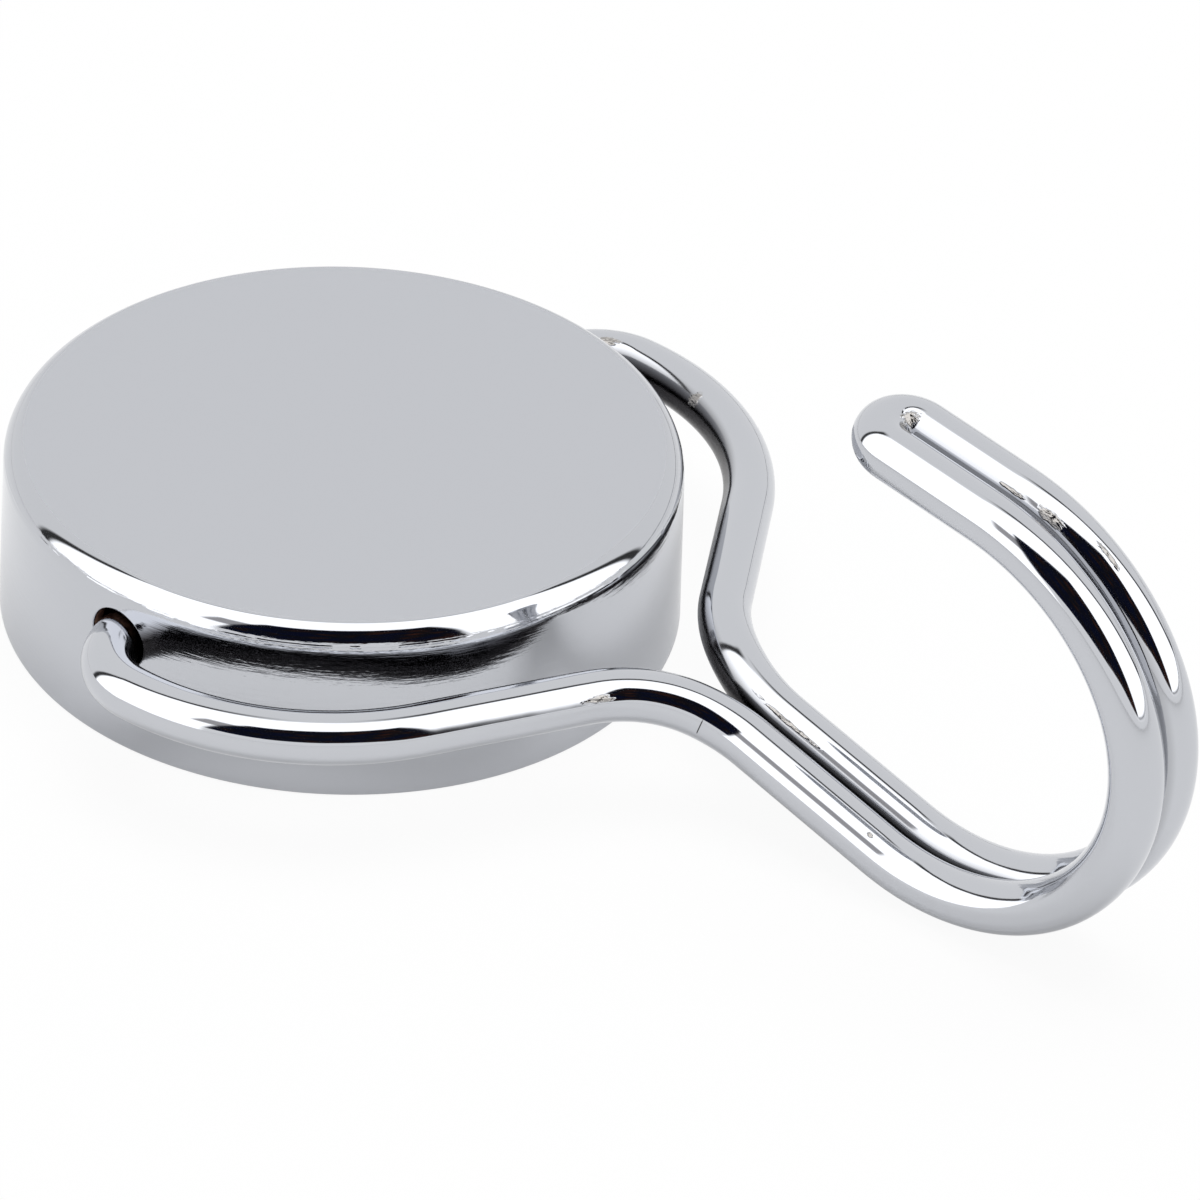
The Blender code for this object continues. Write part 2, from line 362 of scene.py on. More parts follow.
def makeFerrite():
    look = ferriteLook
    material, tree, shader = newMaterial("groundFerrite")
    place = addNode(tree, "ShaderNodeTexCoord").outputs["Object"]
    length, width = look["grindLineLength"], look["grindLineWidth"]
    lines = longMarks(tree, place, (length, width, width), look["grindNoiseTurn"])
    grains = addNode(tree, "ShaderNodeTexNoise",
                     {"Vector": place, "Scale": 1 / look["grainSize"], "Detail": 4})
    tint = addNode(tree, "ShaderNodeValToRGB", [grains])
    setTones(tint, look["tones"])
    grainBumps = addNode(tree, "ShaderNodeBump",
                         {"Strength": 1, "Distance": look["grainDepth"], "Height": grains})
    bumps = addNode(tree, "ShaderNodeBump",
                    {"Strength": 1, "Distance": look["grindLineDepth"], "Height": lines,
                     "Normal": grainBumps})
    setInputs(tree, shader, {"Base Color": tint, "IOR": look["ior"], "Normal": bumps,
                             "Roughness": patternedRoughness(tree, lines, look)})
    return material


# Moulded polypropylene: a soft black with a fine, even spark-eroded texture.
spacerPlasticLook = {
    "tones": ((0, "#1B1B1D"), (1, "#27272A")),
    "textureSize": 0.12 * mm,
    "textureDepth": 0.008 * mm,
    "roughness": 0.5,
    "ior": 1.49,
}


def makeSpacerPlastic():
    look = spacerPlasticLook
    material, tree, shader = newMaterial("mouldedPolypropylene")
    place = addNode(tree, "ShaderNodeTexCoord").outputs["Object"]
    skin = addNode(tree, "ShaderNodeTexNoise",
                   {"Vector": place, "Scale": 1 / look["textureSize"], "Detail": 2})
    tint = addNode(tree, "ShaderNodeValToRGB", [skin])
    setTones(tint, look["tones"])
    bumps = addNode(tree, "ShaderNodeBump",
                    {"Strength": 1, "Distance": look["textureDepth"], "Height": skin})
    setInputs(tree, shader, {"Base Color": tint, "Roughness": look["roughness"],
                             "IOR": look["ior"], "Normal": bumps})
    return material


def addObject(name, data):
    added = bpy.data.objects.new(name, data)
    bpy.context.scene.collection.objects.link(added)
    return added


def addPiece(name, mesh, body, node, materials):
    piece = addObject(name, mesh)
    for material in materials:
        mesh.materials.append(material)
    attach(piece, body)
    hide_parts(node)
    return piece


# a shape's mesh, with its faces pointing outwards
def finishedMesh(name, shape):
    bmesh.ops.recalc_face_normals(shape, faces=shape.faces)
    mesh = bpy.data.meshes.new(name)
    shape.to_mesh(mesh)
    shape.free()
    return mesh


def arcPoints(centre, radius, firstAngle, lastAngle, steps):
    points = []
    for step in range(steps + 1):
        angle = math.radians(firstAngle + (lastAngle - firstAngle) * step / steps)
        points.append((centre[0] + radius * math.cos(angle), centre[1] + radius * math.sin(angle)))
    return points


# values from one to another in even steps, without the first
def evenSteps(first, last, steps):
    return [first + (last - first) * step / steps for step in range(1, steps + 1)]


# The cup is a turned skin. Round each side hole its grid gives way to rings that lead from the
# hole's rolled lip out to the grid.
cupSizes = {
    "radius": 18.1 * mm,
    "height": 10.1 * mm,
    "wall": 0.8 * mm,
    "edgeTopRound": 0.25 * mm,
    "edgeSideRound": 1.55 * mm,
    "edgeTurn": 27.0,  # degrees that the small top round turns before the larger one
    "innerRound": 0.3 * mm,
    "rimFlare": 0.25 * mm,  # how far the wall leans out down to the rim
    "rimRound": 0.14 * mm,
    "holeRadius": 1.7 * mm,
    "holeHeight": 6.45 * mm,
    "holeLip": 0.16 * mm,  # the round that the punch left on the outside
    "patchReach": 2.14 * mm,  # half the side of the square that the rings fill
    "innerPatchReach": 2.3 * mm,
    "patchSteps": 16,
    "patchRings": 3,
    "lipSteps": 5,
    "columns": 352,
    "faceShares": (0.2, 0.4, 0.6, 0.8, 0.92, 0.97, 0.99),
    "roofShares": (0.8, 0.5, 0.2),
    "edgeSteps": 10,
    "roundSteps": 4,
    "wallSteps": 12,
    "innerWallSteps": 6,
    "bareSteps": 5,  # rows under the inner patch at which the plate ends
}


# how far the rounded top edge reaches down the wall, and in over the face
def edgeReach():
    turn = math.radians(cupSizes["edgeTurn"])
    above, below = cupSizes["edgeTopRound"], cupSizes["edgeSideRound"]
    return (above * (1 - math.cos(turn)) + below * math.cos(turn),
            above * math.sin(turn) + below * (1 - math.sin(turn)))


def wallRadius(height):
    straight = cupSizes["height"] - edgeReach()[0]
    return cupSizes["radius"] + cupSizes["rimFlare"] * max(straight - height, 0) / straight


# Column angles: fine and even across each hole's patch, and even between the patches.
def columnAngles():
    halfPatch = cupSizes["patchReach"] / cupSizes["radius"]
    patchSteps = cupSizes["patchSteps"]
    between = (cupSizes["columns"] - 2 * patchSteps) // 2
    angles = []
    for centre in (-math.pi / 2, math.pi / 2):
        angles += [centre - halfPatch]
        angles += evenSteps(centre - halfPatch, centre + halfPatch, patchSteps)
        angles += evenSteps(centre + halfPatch, centre + math.pi - halfPatch, between)[:-1]
    return angles


# The turned profile as (radius, height) rows, and the first row of the outer and inner patches.
def cupProfile():
    size = cupSizes
    top, wall, rimRound, steps = size["height"], size["wall"], size["rimRound"], size["patchSteps"]
    drop, inset = edgeReach()
    above, below, turned = size["edgeTopRound"], size["edgeSideRound"], 90 - size["edgeTurn"]
    faceRadius = size["radius"] - inset
    rows = [(faceRadius * share, top) for share in size["faceShares"]]
    rows += arcPoints((faceRadius, top - above), above, 90, turned, size["edgeSteps"])
    rows += arcPoints((size["radius"] - below, top - drop), below, turned, 0, size["edgeSteps"])[1:]
    outerPatch = len(rows)
    heights = [size["holeHeight"] + size["patchReach"]]
    heights += evenSteps(heights[0], heights[0] - 2 * size["patchReach"], steps)
    heights += evenSteps(heights[-1], rimRound, size["wallSteps"])
    rows += [(wallRadius(height), height) for height in heights]
    rim = wallRadius(0)
    rows += arcPoints((rim - rimRound, rimRound), rimRound, 0, -90, size["roundSteps"])[1:]
    rows += arcPoints((rim - wall + rimRound, rimRound), rimRound, -90, -180, size["roundSteps"])
    heights = evenSteps(rimRound, size["holeHeight"] - size["innerPatchReach"],
                        size["innerWallSteps"])
    innerPatch = len(rows) + len(heights) - 1
    heights += evenSteps(heights[-1], heights[-1] + 2 * size["innerPatchReach"], steps)
    rows += [(wallRadius(height) - wall, height) for height in heights]
    innerRound = size["innerRound"]
    rows += arcPoints((size["radius"] - wall - innerRound, top - wall - innerRound), innerRound,
                      0, 90, size["roundSteps"])
    rows += [(size["radius"] * share, top - wall) for share in size["roofShares"]]
    return rows, outerPatch, innerPatch


# The grid vertices round a patch, once round it, starting at its first row and first column.
def patchBorder(firstRow, firstColumn):
    steps = cupSizes["patchSteps"]
    border = [(firstRow, firstColumn + step) for step in range(steps)]
    border += [(firstRow + step, firstColumn + steps) for step in range(steps)]
    border += [(firstRow + steps, firstColumn + steps - step) for step in range(steps)]
    border += [(firstRow + steps - step, firstColumn) for step in range(steps)]
    return border


# a circle round a side hole, at a depth under the outside, with a point in each direction
def holeCircle(centreAngle, directions, circleRadius, depth):
    points = []
    for direction in directions:
        height = cupSizes["holeHeight"] + circleRadius * math.sin(direction)
        radius = wallRadius(height) - depth
        angle = centreAngle + math.asin(circleRadius * math.cos(direction) / radius)
        points.append(Vector((radius * math.cos(angle), radius * math.sin(angle), height)))
    return points


# the rings between two others, laid on the wall at a depth under its outside
def ringsBetween(first, last, depth):
    rings = []
    for number in range(1, cupSizes["patchRings"]):
        ring = []
        for start, end in zip(first, last):
            spot = start.lerp(end, number / cupSizes["patchRings"])
            level = (wallRadius(spot.z) - depth) / math.hypot(spot.x, spot.y)
            ring.append((spot.x * level, spot.y * level, spot.z))
        rings.append(ring)
    return rings


def makeCup(chrome, bareSteel):
    size = cupSizes
    rows, outerPatch, innerPatch = cupProfile()
    angles = columnAngles()
    count = len(angles)
    patchSteps = size["patchSteps"]
    patchColumns = [0, count // 2]
    shape = bmesh.new()

    def inPatch(row, column, reach):
        inRows = any(reach <= row - first < patchSteps for first in (outerPatch, innerPatch))
        return inRows and any(reach <= column - start < patchSteps for start in patchColumns)

    grid = {}
    for row, (radius, height) in enumerate(rows):
        for column, angle in enumerate(angles):
            if not inPatch(row, column, 1):
                spot = (radius * math.cos(angle), radius * math.sin(angle), height)
                grid[row, column] = shape.verts.new(spot)

    # the first material is the chrome, the second the bare steel
    def addFace(corners, materialIndex):
        face = shape.faces.new(corners)
        face.smooth = True
        face.material_index = materialIndex

    for row in range(len(rows) - 1):
        bare = int(row >= innerPatch - size["bareSteps"])
        for column in range(count):
            if not inPatch(row, column, 0):
                after = (column + 1) % count
                addFace([grid[row, column], grid[row + 1, column],
                         grid[row + 1, after], grid[row, after]], bare)
    for row, height, flip in ((0, size["height"], False), (len(rows) - 1, rows[-1][1], True)):
        middle = shape.verts.new((0, 0, height))
        for column in range(count):
            corners = [middle, grid[row, column], grid[row, (column + 1) % count]]
            addFace(corners[::-1] if flip else corners, int(flip))

    lip, holeRadius, wall = size["holeLip"], size["holeRadius"], size["wall"]
    for side, start in enumerate(patchColumns):
        centreAngle = -math.pi / 2 + math.pi * side
        border = patchBorder(outerPatch, start)
        outerEdge = [grid[key] for key in border]
        innerEdge = [grid[2 * innerPatch + patchSteps - row, column]
                     for row, column in patchBorder(innerPatch, start)]
        directions = []
        for row, column in border:
            across = (angles[column] - centreAngle) * size["radius"]
            directions.append(math.atan2(rows[row][1] - size["holeHeight"], across))

        # circles from the outer end of the rolled lip to the inner end of the hole
        circles = []
        for step in range(size["lipSteps"] + 1):
            roll = math.pi / 2 * step / size["lipSteps"]
            circles.append((holeRadius + lip * (1 - math.sin(roll)), lip * (1 - math.cos(roll)), 0))
        circles += [(holeRadius, wall / 2, 1), (holeRadius, wall, 1)]
        hole = [(holeCircle(centreAngle, directions, radius, depth), bare)
                for radius, depth, bare in circles]
        outerPlaces = [vertex.co for vertex in outerEdge]
        innerPlaces = [vertex.co for vertex in innerEdge]
        laid = [(points, 0) for points in ringsBetween(outerPlaces, hole[0][0], 0)]
        laid += hole
        laid += [(points, 1) for points in ringsBetween(hole[-1][0], innerPlaces, wall)]
        rings = [(outerEdge, 0)]
        rings += [([shape.verts.new(point) for point in points], bare) for points, bare in laid]
        rings += [(innerEdge, 1)]
        for (outer, _), (inner, bare) in zip(rings, rings[1:]):
            for number in range(len(outer)):
                after = (number + 1) % len(outer)
                addFace([outer[number], inner[number], inner[after], outer[after]], bare)

    mesh = finishedMesh("cupBody", shape)
    return addPiece("cupBody", mesh, "cup_body", "cup", [chrome, bareSteel])


# A closed ring or disc turned from (radius, height) rows; a first or last row at radius zero closes
# to a point.
def turnedPiece(name, rows, columns, closed, wear=None):
    shape = bmesh.new()
    rings = []
    for radius, height in rows:
        ring = []
        for column in range(columns if radius else 1):
            angle = math.tau * column / columns
            spot = Vector((radius * math.cos(angle), radius * math.sin(angle), height))
            ring.append(shape.verts.new(wear(spot) if wear else spot))
        rings.append(ring)
    if closed:
        rings.append(rings[0])
    for upper, lower in zip(rings, rings[1:]):
        for column in range(columns):
            after = (column + 1) % columns
            if len(upper) == 1:
                corners = [upper[0], lower[column], lower[after]]
            elif len(lower) == 1:
                corners = [upper[column], lower[0], upper[after]]
            else:
                corners = [upper[column], lower[column], lower[after], upper[after]]
            shape.faces.new(corners).smooth = True
    return finishedMesh(name, shape)


magnetSizes = {
    "radius": 14.0 * mm,
    "height": 9.0 * mm,
    "edgeRound": 0.4 * mm,
    "edgeSteps": 6,
    "wallSteps": 10,
    "faceShares": (0.3, 0.6, 0.85),
    "columns": 256,
    "chipDepth": 0.22 * mm,
    "chipSize": 1.3 * mm,
    "chipFrom": 0.28,  # the noise level above which the edge is chipped
    "chipSteepness": 2.0,
}


# Small chips along the magnet's edges, as brittle ferrite has.
def chipEdge(spot):
    size = magnetSizes
    fromEdge = min(spot.z, size["height"] - spot.z) + size["radius"] - math.hypot(spot.x, spot.y)
    nearness = max(0.0, 1 - fromEdge / (2 * size["edgeRound"]))
    chip = max(0.0, noise.noise(spot / size["chipSize"]) - size["chipFrom"])
    depth = min(chip * size["chipSteepness"], 1) * nearness * size["chipDepth"]
    inward = Vector((-spot.x, -spot.y, 0)).normalized()
    inward.z = 1 if spot.z < size["height"] / 2 else -1
    return spot + inward.normalized() * depth


def makeMagnet(ferrite):
    size = magnetSizes
    radius, height, edge = size["radius"], size["height"], size["edgeRound"]
    shares, steps = size["faceShares"], size["edgeSteps"]
    rows = [(0, height)] + [(radius * share, height) for share in shares]
    rows += arcPoints((radius - edge, height - edge), edge, 90, 0, steps)
    rows += [(radius, level) for level in evenSteps(height - edge, edge, size["wallSteps"])[:-1]]
    rows += arcPoints((radius - edge, edge), edge, 0, -90, steps)
    rows += [(radius * share, 0) for share in reversed(shares)] + [(0, 0)]
    mesh = turnedPiece("magnetDisc", rows, size["columns"], False, chipEdge)
    return addPiece("magnetDisc", mesh, "cup_body", "magnet", [ferrite])


ringSizes = {
    "seatGap": 0.3 * mm,
    "recess": 0.4 * mm,  # how far the ring lies behind the magnet's face
    "top": 4.4 * mm,
    "edgeRound": 0.25 * mm,
    "edgeSteps": 4,
    "columns": 256,
}


def makeSpacerRing(plastic):
    size = ringSizes
    inner = magnetSizes["radius"] + size["seatGap"]
    edge, low, top = size["edgeRound"], size["recess"], size["top"]
    lowOuter = wallRadius(low) - cupSizes["wall"] - size["seatGap"]
    topOuter = wallRadius(top) - cupSizes["wall"] - size["seatGap"]
    steps = size["edgeSteps"]
    rows = arcPoints((inner + edge, top - edge), edge, 180, 90, steps)
    rows += arcPoints((topOuter - edge, top - edge), edge, 90, 0, steps)
    rows += arcPoints((lowOuter - edge, low + edge), edge, 0, -90, steps)
    rows += arcPoints((inner + edge, low + edge), edge, -90, -180, steps)
    mesh = turnedPiece("spacerRing", rows, size["columns"], True)
    return addPiece("spacerRing", mesh, "cup_body", "spacer_ring", [plastic])


# The hook is one wire, set out flat like a blank and then folded along its side view.
wireSizes = {
    "diameter": 2.8 * mm,
    "endChamfer": 0.3 * mm,
    "pivotHeight": 6.4 * mm,
    "endReach": 2.3 * mm,  # how far the wire goes in past the wall
    "legClearance": 1.38 * mm,  # from the rim to the leg beside the hole
    "shoulderClearance": 1.56 * mm,  # from the rim to the slanting part of the leg
    "endBend": 3.8 * mm,
    "shoulderAngle": 60.0,
    "neckBend": 8.9 * mm,
    "strandGap": 0.1 * mm,
    "dipClearance": 2.45 * mm,  # from the rim to where the hook starts to dip
    "dipBend": 15.4 * mm,
    "shankLength": 12.1 * mm,
    "throatBend": 11.1 * mm,
    "crownBend": 12.9 * mm,
    "crownAngle": 52.6,
    "lipLength": 5.7 * mm,
    "lipRise": 10.8,  # degrees that the tip rises back towards the cup
    "floorClearance": 0.1 * mm,  # under the lowest point of the hook
    "pointSpacing": 0.3 * mm,
    "pointTurn": 3.0,  # most degrees of a bend between two points
    "sides": 72,
    "sharpFrom": 40.0,
}


# a bend as (length, turn), from its radius and its angle in degrees
def bendMove(radius, degrees):
    return radius * abs(math.radians(degrees)), math.radians(degrees)


# the place after going some distance along straights and bends
def placeAlong(moves, distance, heading):
    x, y = 0.0, 0.0
    for number, (length, turn) in enumerate(moves):
        step = distance if number == len(moves) - 1 else min(distance, length)
        if turn:
            radius = length / turn
            turned = heading + step / radius
            x += radius * (math.sin(turned) - math.sin(heading))
            y -= radius * (math.cos(turned) - math.cos(heading))
            heading = turned
        else:
            x += step * math.cos(heading)
            y += step * math.sin(heading)
        distance -= step
        if distance <= 0:
            break
    return x, y


# where the wire ends inside the cup, on its pivot axis
def wireEnd():
    return cupSizes["radius"] - cupSizes["wall"] - wireSizes["endReach"]


# The straights and bends of half the wire: in plan, as if it were flat, from its end to the middle
# of the tip; and in the side view along which the flat wire is folded.
def wireMoves():
    size = wireSizes
    radius = size["diameter"] / 2
    rim = wallRadius(0)
    strandOffset = radius + size["strandGap"] / 2
    legOffset = rim + size["legClearance"] + radius

    drop = size["pivotHeight"] - radius - size["floorClearance"]
    bends = size["dipBend"] + size["throatBend"]
    reach = math.hypot(bends, size["shankLength"])
    dip = math.degrees(math.atan2(bends, size["shankLength"]) + math.asin((drop - bends) / reach))
    hookAngle = 180 - size["lipRise"] + dip
    side = [
        (rim + size["dipClearance"], 0.0),
        bendMove(size["dipBend"], -dip),
        (size["shankLength"], 0.0),
        bendMove(size["throatBend"], hookAngle - size["crownAngle"]),
        bendMove(size["crownBend"], size["crownAngle"]),
        (size["lipLength"], 0.0),
    ]

    turn = math.radians(size["shoulderAngle"])
    slantOffset = rim + size["shoulderClearance"] + radius
    reached = size["endBend"] * math.sin(turn) + legOffset * math.cos(turn)
    shoulderBend = (slantOffset - reached) / (1 - math.cos(turn))
    both = shoulderBend + size["neckBend"]
    slant = (legOffset - strandOffset - both * (1 - math.cos(turn))) / math.sin(turn)
    neckEnd = size["endBend"] + both * math.sin(turn) + slant * math.cos(turn)
    plan = [
        (legOffset - size["endBend"] - wireEnd(), 0.0),
        bendMove(size["endBend"], 90),
        bendMove(shoulderBend, size["shoulderAngle"]),
        (slant, 0.0),
        bendMove(size["neckBend"], -size["shoulderAngle"]),
        (sum(length for length, _ in side) - neckEnd, 0.0),
        bendMove(strandOffset, 90),
    ]
    return plan, side


def wirePath():
    size = wireSizes
    plan, side = wireMoves()
    distances, start = [0.0, size["endChamfer"]], 0.0
    for length, turned in plan:
        steps = max(math.ceil(length / size["pointSpacing"]),
                    math.ceil(math.degrees(abs(turned)) / size["pointTurn"]))
        distances += [start + length * step / steps for step in range(1, steps + 1)]
        start += length
    half = []
    for distance in sorted(distances):
        flatX, flatY = placeAlong(plan, distance, math.radians(-90))
        x, z = placeAlong(side, flatX, 0.0)
        half.append(Vector((x, flatY - wireEnd(), size["pivotHeight"] + z)))
    half[-1].y = 0.0
    return half + [Vector((spot.x, -spot.y, spot.z)) for spot in reversed(half[:-1])]


# The tree that lays a round wire along a path, with chamfered ends. It keeps each point's place on
# the straightened wire, for patterns that follow the wire.
def makeWireTree():
    tree = bpy.data.node_groups.new("wireAlongPath", "GeometryNodeTree")
    tree.interface.new_socket("Geometry", in_out="INPUT", socket_type="NodeSocketGeometry")
    for name, kind in (("Wire Radius", "Float"), ("End Chamfer", "Float"), ("Sides", "Int"),
                       ("Finish", "Material")):
        tree.interface.new_socket(name, in_out="INPUT", socket_type="NodeSocket" + kind)
    tree.interface.new_socket("Geometry", in_out="OUTPUT", socket_type="NodeSocketGeometry")
    given = addNode(tree, "NodeGroupInput").outputs
    path = addNode(tree, "GeometryNodeMeshToCurve", {"Mesh": given["Geometry"]})

    # the wire narrows over the chamfer at each end
    along = addNode(tree, "GeometryNodeSplineParameter").outputs["Length"]
    whole = addNode(tree, "GeometryNodeSplineLength").outputs["Length"]
    rest = addNode(tree, "ShaderNodeMath", [whole, along], operation="SUBTRACT")
    fromEnd = addNode(tree, "ShaderNodeMath", [along, rest], operation="MINIMUM")
    blunt = addNode(tree, "ShaderNodeMath", [given["Wire Radius"], given["End Chamfer"]],
                    operation="SUBTRACT")
    tip = addNode(tree, "ShaderNodeMath", [blunt, given["Wire Radius"]], operation="DIVIDE")
    taper = addNode(tree, "ShaderNodeMapRange",
                    {"Value": fromEnd, "From Max": given["End Chamfer"], "To Min": tip,
                     "To Max": 1})
    shaped = addNode(tree, "GeometryNodeSetCurveRadius", {"Curve": path, "Radius": taper})

    # the place along the path and round the wire's section
    measured = addNode(tree, "GeometryNodeCaptureAttribute", {"Geometry": shaped})
    measured.capture_items.new("FLOAT", "Along")
    setInputs(tree, measured, {"Along": along})
    ring = addNode(tree, "GeometryNodeCurvePrimitiveCircle",
                   {"Resolution": given["Sides"], "Radius": given["Wire Radius"]})
    around = addNode(tree, "GeometryNodeCaptureAttribute", {"Geometry": ring})
    around.capture_items.new("VECTOR", "Around")
    setInputs(tree, around, {"Around": addNode(tree, "GeometryNodeInputPosition")})
    wire = addNode(tree, "GeometryNodeCurveToMesh",
                   {"Curve": measured, "Profile Curve": around, "Fill Caps": True})
    split = addNode(tree, "ShaderNodeSeparateXYZ", [around.outputs["Around"]]).outputs
    straight = addNode(tree, "ShaderNodeCombineXYZ",
                       [measured.outputs["Along"], split["X"], split["Y"]])
    placed = addNode(tree, "GeometryNodeStoreNamedAttribute",
                     {"Geometry": wire, "Name": "wirePlace", "Value": straight},
                     data_type="FLOAT_VECTOR", domain="POINT")
    smooth = addNode(tree, "GeometryNodeSetShadeSmooth", {"Geometry": placed})
    real = addNode(tree, "GeometryNodeRealizeInstances", {"Geometry": smooth})
    finished = addNode(tree, "GeometryNodeSetMaterial",
                       {"Geometry": real, "Material": given["Finish"]})
    addNode(tree, "NodeGroupOutput", {"Geometry": finished})
    return tree


# A plain mesh of what a node tree makes from a starting mesh, with its named inputs set.
def grownMesh(name, start, tree, inputs):
    grower = addObject(name + "Grower", start)
    modifier = grower.modifiers.new("grow", "NODES")
    modifier.node_group = tree
    for item in tree.interface.items_tree:
        if item.in_out == "INPUT" and item.name in inputs:
            modifier[item.identifier] = inputs[item.name]
    evaluated = grower.evaluated_get(bpy.context.evaluated_depsgraph_get())
    mesh = bpy.data.meshes.new_from_object(evaluated)
    mesh.name = name
    grower.modifiers.clear()
    bpy.data.objects.remove(grower)
    return mesh


def makeHook(chrome):
    points = wirePath()
    line = bpy.data.meshes.new("wirePathLine")
    line.from_pydata(points, [(index, index + 1) for index in range(len(points) - 1)], [])
    mesh = grownMesh("wireHook", line, makeWireTree(), {
        "Wire Radius": wireSizes["diameter"] / 2,
        "End Chamfer": wireSizes["endChamfer"],
        "Sides": wireSizes["sides"],
        "Finish": chrome,
    })
    mesh.set_sharp_from_angle(angle=math.radians(wireSizes["sharpFrom"]))
    return addPiece("wireHook", mesh, "hook_body", "swing_hook", [])


# The table is white paper. It shows its own light to the camera, so that it stays white and keeps
# a faint shadow, and less of it to the chrome, where the paper is darker in the cup's own shade.
table = {
    "size": 3.0,
    "drop": 0.02 * mm,
    "colour": "#F4F4F4",
    "roughness": 0.9,
    "gloss": 0.1,
    "cameraGlow": 0.93,
    "mirrorGlow": 0.25,
    "mirrorLevel": 1.1,
}


def makeTable():
    bpy.ops.mesh.primitive_plane_add(size=table["size"], location=(0, 0, -table["drop"]))
    sheet = bpy.context.object
    sheet.name = "table"
    material, tree, shader = newMaterial("whitePaper")
    setInputs(tree, shader, {"Base Color": linearColour(table["colour"]),
                             "Roughness": table["roughness"],
                             "Specular IOR Level": table["gloss"]})
    rays = addNode(tree, "ShaderNodeLightPath").outputs
    toMirror = addNode(tree, "ShaderNodeMath", [rays["Is Glossy Ray"], table["mirrorGlow"]],
                       operation="MULTIPLY")
    share = addNode(tree, "ShaderNodeMath",
                    [rays["Is Camera Ray"], table["cameraGlow"], toMirror],
                    operation="MULTIPLY_ADD")
    level = addNode(tree, "ShaderNodeMath", [rays["Is Glossy Ray"], table["mirrorLevel"] - 1, 1],
                    operation="MULTIPLY_ADD")
    glow = addNode(tree, "ShaderNodeEmission", {"Strength": level})
    both = addNode(tree, "ShaderNodeMixShader", [share, shader, glow])
    setInputs(tree, tree.nodes["Material Output"], {"Surface": both})
    sheet.data.materials.append(material)


# The studio as the chrome mirrors it, by direction in degrees. Zero is towards the camera, turns
# to its right are positive, and a pair says where an edge begins and where it is complete.
# The room is dark behind the camera, between two tall white panels that close overhead, and a
# backdrop of plain white rises behind the object, with a dark gap that runs over it. A grey bar
# stands out of the room before the left panel, a dull white board lies before the room and the
# right panel, and blue and brown things are in the room.
surround = {
    "plainLevel": 0.55,
    "panelLevel": 2.0,
    "backdropLevel": 1.0,
    "backdropMiddle": 2.0,
    "backdropReach": 74.0,
    "backdropTop": 80.0,
    "backdropEdge": (0.97, 1.03),
    "archPower": 4,
    "gapLevel": 0.05,
    "gapTop": 72.0,
    "gapHalfWidth": 0.045,
    "gapSides": (5.0, 45.0),
    "barColour": "#BCBABB",
    "barLeft": (-46.0, -43.0),
    "barRight": (-20.5, -22.0),
    "barLow": (29.0, 33.5),
    "barHigh": (51.0, 46.5),
    "footTop": 3.6,
    "footLevel": 1.03,
    "footLineColour": "#6C6C70",
    "footLineHeight": 1.0,
    "roomTones": ((0.42, "#0E1226"), (0.56, "#141417"), (0.74, "#46261C")),
    "roomThings": 7.0,
    "roomLeft": -36.5,
    "roomLean": 0.0022,
    "roomRight": 43.0,
    "roomTop": 61.5,
    "roomArch": 0.003,
    "roomMiddle": 10.0,
    "roomFoot": 12.0,
    "roomFootFalls": 12.0,
    "edgeSoftness": 1.5,
}


# how far out a direction lies in a rounded arch: 1 on the arch, less inside it
def archPlace(tree, sideways, above, reach, top):
    power = surround["archPower"]
    whole = 0
    for angle, size in ((sideways, reach), (above, top)):
        share = addNode(tree, "ShaderNodeMath", [angle, size], operation="DIVIDE")
        raised = addNode(tree, "ShaderNodeMath", [share, power], operation="POWER")
        whole = addNode(tree, "ShaderNodeMath", [whole, raised], operation="ADD")
    return addNode(tree, "ShaderNodeMath", [whole, 1 / power], operation="POWER")


# how bright the panels and the backdrop are
def panelLevel(tree, around, above):
    look = surround
    sideways = distanceBetween(tree, distanceBetween(tree, around, look["backdropMiddle"]), 180)
    inBackdrop = archPlace(tree, sideways, above, look["backdropReach"], look["backdropTop"])
    level = addNode(tree, "ShaderNodeMapRange",
                    [inBackdrop, *look["backdropEdge"], look["backdropLevel"], look["panelLevel"]],
                    **eased)
    inGap = archPlace(tree, sideways, above, look["backdropReach"], look["gapTop"])
    offGap = distanceBetween(tree, inGap, 1)
    width = look["gapHalfWidth"]
    onGap = addNode(tree, "ShaderNodeMapRange", [offGap, width / 2, width * 3 / 2, 1, 0], **eased)
    shows = addNode(tree, "ShaderNodeMapRange", [sideways, *look["gapSides"]], **eased)
    gap = addNode(tree, "ShaderNodeMath", [onGap, shows], operation="MULTIPLY")
    return addNode(tree, "ShaderNodeMix", {0: gap, 2: level, 3: look["gapLevel"]})


# the product of some eased edges, each given as a value, where it begins and where it is complete
def insideEdges(tree, edges):
    inside = 1
    for value, begins, complete in edges:
        edge = addNode(tree, "ShaderNodeMapRange", [value, begins, complete], **eased)
        inside = addNode(tree, "ShaderNodeMath", [inside, edge], operation="MULTIPLY")
    return inside


